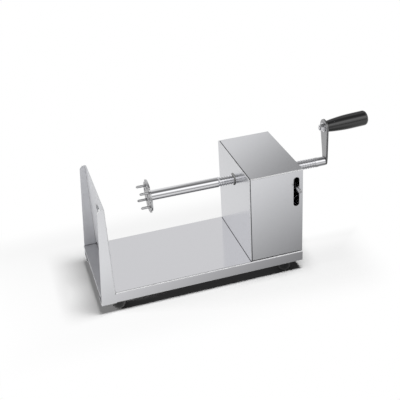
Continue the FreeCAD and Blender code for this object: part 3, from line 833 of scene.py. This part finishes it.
front_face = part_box("front_panel")[0].x
rear_low, rear_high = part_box("rear_bush")
front = place_pieces("front_snap_bush", snap_bush(front_length, 0.0),
                     [facing((front_face - sheet_stop, screw_axis.y, screw_axis.z), (1, 0, 0))])
stand_in(front, "front_bush", "bushes", nylon)
rear_face = rear_high.x - rear_boss
rear = place_pieces("rear_snap_bush", snap_bush(rear_face - rear_low.x, rear_boss),
                    [facing((rear_face, screw_axis.y, screw_axis.z), (-1, 0, 0))])
stand_in(rear, "rear_bush", "bushes", nylon)

# %% [markdown]
# ## Cross-head screws
# Each small screw has a domed pan head with a cross recess and a fine thread. The recess is cut with
# a tapered cross by a boolean, because its walls cross the dome at an angle that rings can't follow.
# One screw is made, and its copies go where the frame's plain screws are.

# %% Screws
head_height = 0.0024
head_radius = 0.0036
head_rise = 0.0014
head_flat = 0.0009
rim_break = 0.0001
plain_shank = 0.0006
shank_radius = 0.002
tip_break = 0.0004
fine_pitch = 0.0007
fine_depth = 0.00035
screw_steps = 32
cutter_lift = 0.0003
cutter_taper = 0.45


def cross_cutter(reach, half_width, depth):
    """A closed tapered cross that goes down Z from just above zero."""
    corners = []
    for quarter in range(4):
        turn = Matrix.Rotation(quarter * math.pi / 2, 3, "Z")
        corners += [turn @ Vector(corner) for corner in ((reach, -half_width, 0), (reach, half_width, 0),
                                                         (half_width, half_width, 0))]
    count = len(corners)
    top = [(corner.x, corner.y, -cutter_lift) for corner in corners]
    foot = [(cutter_taper * corner.x, cutter_taper * corner.y, depth) for corner in corners]
    faces = [(step, (step + 1) % count, count + (step + 1) % count, count + step) for step in range(count)]
    faces += [tuple(range(count)), tuple(range(2 * count - 1, count - 1, -1))]
    return finish_mesh("cross_cutter", top + foot, faces)


def cut_recess(mesh, reach=0.0019, half_width=0.00042, depth=0.0015):
    """The mesh with a cross recess cut down from its top at the origin."""
    body = bpy.data.objects.new("recess_body", mesh)
    tool = bpy.data.objects.new("recess_tool", cross_cutter(reach, half_width, depth))
    for thing in (body, tool):
        bpy.context.scene.collection.objects.link(thing)
    cut = body.modifiers.new("recess", "BOOLEAN")
    cut.operation = "DIFFERENCE"
    cut.solver = "EXACT"
    cut.object = tool
    bpy.context.view_layer.update()
    result = bpy.data.meshes.new_from_object(body.evaluated_get(bpy.context.evaluated_depsgraph_get()))
    result.shade_smooth()
    result.set_sharp_from_angle(angle=math.radians(smooth_limit))
    for thing in (body, tool):
        bpy.data.objects.remove(thing)
    return result


def dome(radius, rise, flat, count=6):
    """Outline of a domed head from its middle to its rim."""
    outline = [(0.0, 0.0), (0.0, flat)]
    for step in range(1, count + 1):
        angle = math.pi / 2 * step / count
        outline.append((rise * (1 - math.cos(angle)), flat + (radius - flat) * math.sin(angle)))
    return outline


def pan_screw(length):
    """A pan-head screw down Z, its head's top at the origin."""
    points, faces = [], []
    start, end = head_height + plain_shank, length - tip_break
    head = dome(head_radius, head_rise, head_flat)
    head += [(head_height - rim_break, head_radius), (head_height, head_radius - rim_break),
             (head_height, shank_radius), (start, shank_radius)]
    tip = [(end, shank_radius), (length, shank_radius - tip_break), (length, 0.0)]
    spin_into(points, faces, outline_rings(head, screw_steps), screw_steps)
    thread_into(points, faces, start, end, shank_radius, fine_pitch, fine_depth, screw_steps)
    spin_into(points, faces, outline_rings(tip, screw_steps), screw_steps)
    return cut_recess(finish_mesh("pan_screw", points, faces))


def loose_parts(node):
    """Lowest and highest corner of each separate solid of a node."""
    work = bmesh.new()
    work.from_mesh(nodes[node].data)
    bmesh.ops.remove_doubles(work, verts=work.verts, dist=weld_distance)
    left, parts = set(work.verts), []
    while left:
        front = [min(left, key=lambda vert: vert.co.to_tuple())]
        left.discard(front[0])
        found = []
        while front:
            vert = front.pop()
            found.append(vert.co.copy())
            for edge in vert.link_edges:
                other = edge.other_vert(vert)
                if other in left:
                    left.discard(other)
                    front.append(other)
        low = Vector([min(spot[axis] for spot in found) for axis in range(3)])
        high = Vector([max(spot[axis] for spot in found) for axis in range(3)])
        parts.append((low, high))
    work.free()
    return parts


def screw_places(node, down):
    """A matrix for each screw of a node, from its head along the axis that down gives."""
    places, down = [], Vector(down)
    axis = max(range(3), key=lambda index: abs(down[index]))
    for low, high in loose_parts(node):
        top = (low + high) / 2
        top[axis] = low[axis] if down[axis] > 0 else high[axis]
        places.append(facing(top, down))
    return places, (high - low)[axis]


screw_rows = {"blade_screws": (-1, 0, 0), "foot_screws": (0, 0, 1), "housing_screws": (0, 0, 1)}
for node, down in screw_rows.items():
    places, length = screw_places(node, down)
    piece = place_pieces(node + "_cross_head", pan_screw(length), places)
    stand_in(piece, node, "frame", fastener_steel)

# %% [markdown]
# ## Hexagon nuts
# A real nut is a hexagon whose corners are turned off at about thirty degrees, which leaves the curved
# arcs on its flats. The arcs come by themselves when each point's height follows its own radius, so
# a ring of many steps makes both the flats and the chamfer.

# %% Nuts
nut_steps = 72
nut_chamfer = math.tan(math.radians(30))
nut_smooth_limit = 20.0
seat_share = 0.475
entry_share = 0.12


def hexagon_reach(flats):
    """Radius of a hexagon across its flats as a function of the angle."""
    def reach(angle):
        beside = (angle + math.pi / 6) % (math.pi / 3) - math.pi / 6
        return flats / 2 / math.cos(beside)
    return reach


def hexagon_nut(flats, height, bore):
    """A chamfered nut up Z from the origin."""
    reach = hexagon_reach(flats)
    seat = seat_share * flats
    wall = []
    for end, sign in ((0.0, 1.0), (height, -1.0)):
        ring = []
        for x, y, _ in ring_points(0.0, reach, nut_steps):
            ring.append((x, y, end + sign * nut_chamfer * (math.hypot(x, y) - seat)))
        wall.append(ring)
    entry = entry_share * bore
    rings = [ring_points(entry, bore, nut_steps), ring_points(0.0, bore + entry, nut_steps),
             ring_points(0.0, seat, nut_steps), wall[0], wall[1], ring_points(height, seat, nut_steps),
             ring_points(height, bore + entry, nut_steps), ring_points(height - entry, bore, nut_steps),
             ring_points(entry, bore, nut_steps)]
    points, faces = [], []
    spin_into(points, faces, rings, nut_steps)
    return finish_mesh("hexagon_nut", points, faces, nut_smooth_limit)


nut_rows = {"blade_nuts": (1, 0, 0), "foot_nuts": (0, 0, 1), "housing_nuts": (0, 0, 1)}
nut_flats = 0.007
for node, up in nut_rows.items():
    places, height = screw_places(node, up)
    piece = place_pieces(node + "_chamfered", hexagon_nut(nut_flats, height, shank_radius), places)
    stand_in(piece, node, "frame", fastener_steel)

# %% [markdown]
# ## Crank fasteners
# The crank is drawn on to the screw by a countersunk screw, and the grip turns on a shoulder bolt whose
# head is sunk in the grip's end. Its tail is threaded and held by a nut on the arm's inner side.
# The bolt leans with the arm, and its line is the axis of the grip's own joint.

# %% Crank screw and grip bolt
crank_low, crank_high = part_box("crank_screw")
sink_radius = (crank_high.z - crank_low.z) / 2
crank_shank = 0.0025
bolt_radius = 0.003
bolt_head_radius = 0.006
bolt_head_height = 0.004
bolt_head_rise = 0.0016
bolt_head_flat = 0.0024
bolt_tail_thread = 0.0095
bolt_tip_break = 0.0006
bolt_pitch = 0.001
bolt_thread_depth = 0.0005
sink_rim = 0.0002


def countersunk_screw(length):
    """A flat-headed screw down Z with its head's face at the origin."""
    outline = [(0.0, 0.0), (0.0, sink_radius - sink_rim), (sink_rim, sink_radius),
               (spigot_length, crank_shank), (length, crank_shank), (length, 0.0)]
    points, faces = [], []
    spin_into(points, faces, outline_rings(outline, bar_steps), bar_steps)
    return cut_recess(finish_mesh("countersunk_screw", points, faces), reach=0.0026, half_width=0.0005)


crank_face = Vector((crank_high.x, (crank_low.y + crank_high.y) / 2, (crank_low.z + crank_high.z) / 2))
crank_screw = place_pieces("crank_screw_cross_head", countersunk_screw(crank_high.x - crank_low.x),
                           [facing(crank_face, (-1, 0, 0))])
stand_in(crank_screw, "crank_screw", "spindle", fastener_steel)

joints = {joint["name"]: joint for joint in frame["record"]["behaviour"]["joints"]}
grip_axis = Vector(joints["grip_spin"]["axis"]).normalized()
grip_spot = Vector(joints["grip_spin"]["pos_m"])


def along_grip(node):
    """Where a node of the grip's line starts and ends, measured from the joint along its axis."""
    reach = [(vertex.co - grip_spot).dot(grip_axis) for vertex in nodes[node].data.vertices]
    return min(reach), max(reach)


def shoulder_bolt(length):
    """The bolt down Z from the top of its head to its threaded tail."""
    tail_start, tail_end = length - bolt_tail_thread, length - bolt_tip_break
    head = dome(bolt_head_radius, bolt_head_rise, bolt_head_flat)
    head += [(bolt_head_height, bolt_head_radius), (bolt_head_height, bolt_radius),
             (tail_start, bolt_radius)]
    tip = [(tail_end, bolt_radius), (length, bolt_radius - bolt_tip_break), (length, 0.0)]
    points, faces = [], []
    spin_into(points, faces, outline_rings(head, bar_steps), bar_steps)
    thread_into(points, faces, tail_start, tail_end, bolt_radius, bolt_pitch, bolt_thread_depth,
                bar_steps)
    spin_into(points, faces, outline_rings(tip, bar_steps), bar_steps)
    mesh = finish_mesh("shoulder_bolt", points, faces)
    return cut_recess(mesh, reach=0.0030, half_width=0.0006, depth=0.0020)


tail, head = along_grip("grip_bolt")
bolt = place_pieces("grip_bolt_cross_head", shoulder_bolt(head - tail),
                    [facing(grip_spot + grip_axis * head, -grip_axis)])
stand_in(bolt, "grip_bolt", "spindle", fastener_steel)
nut_start, nut_end = along_grip("grip_nut")
arm_nut_flats = 0.010
arm_nut = place_pieces("grip_nut_chamfered", hexagon_nut(arm_nut_flats, nut_end - nut_start, bolt_radius),
                       [facing(grip_spot + grip_axis * nut_start, grip_axis)])
stand_in(arm_nut, "grip_nut", "spindle", fastener_steel)

# %% [markdown]
# ## Finish
# The dressed machine has to stay in the box of its frame.

# %% Finish
print("finished")
